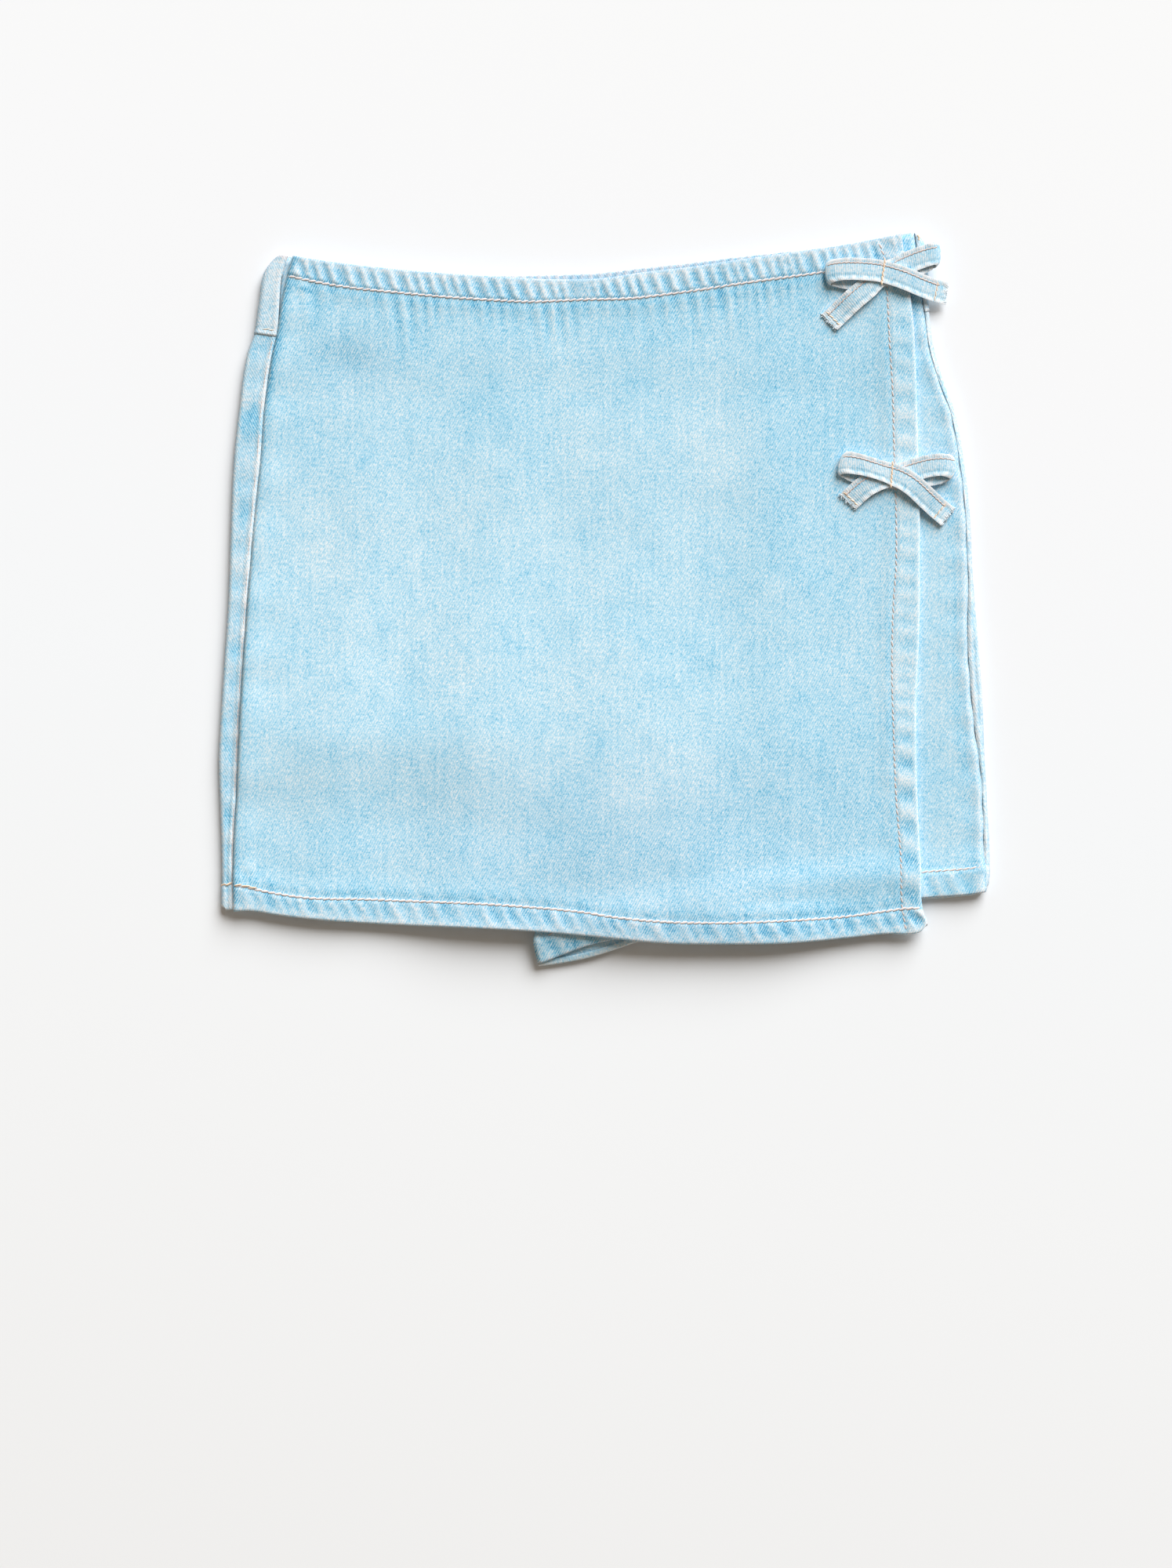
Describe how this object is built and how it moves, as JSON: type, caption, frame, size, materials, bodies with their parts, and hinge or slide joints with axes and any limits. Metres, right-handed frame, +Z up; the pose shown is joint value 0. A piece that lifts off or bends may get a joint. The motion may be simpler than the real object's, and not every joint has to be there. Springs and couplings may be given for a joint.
{
  "type": "denim wrap mini skirt with inner shorts",
  "caption": "Light denim wrap mini skirt sewn over inner shorts, with two small bows on the wrap's free edge, laid flat.",
  "frame": {"origin": "middle of the laid garment's outline, on the surface it lies on", "axes": "+X to the right of the laid garment seen from above, +Y towards the waist, +Z up from the surface"},
  "size_m": [0.3443, 0.3278, 0.0116],
  "materials": {
    "denim_front": "washed light blue denim twill",
    "denim_back": "washed light blue denim twill, slightly paler",
    "denim_strap": "folded light blue denim strap with frayed ends"
  },
  "bodies": {
    "root": {"wrap_panel": "denim_front", "front_leg_left": "denim_front", "front_leg_right": "denim_front", "back_leg_left": "denim_back", "back_leg_right": "denim_back", "back_waistband": "denim_back", "bow_upper": "denim_strap", "bow_lower": "denim_strap"}
  },
  "joints": []
}
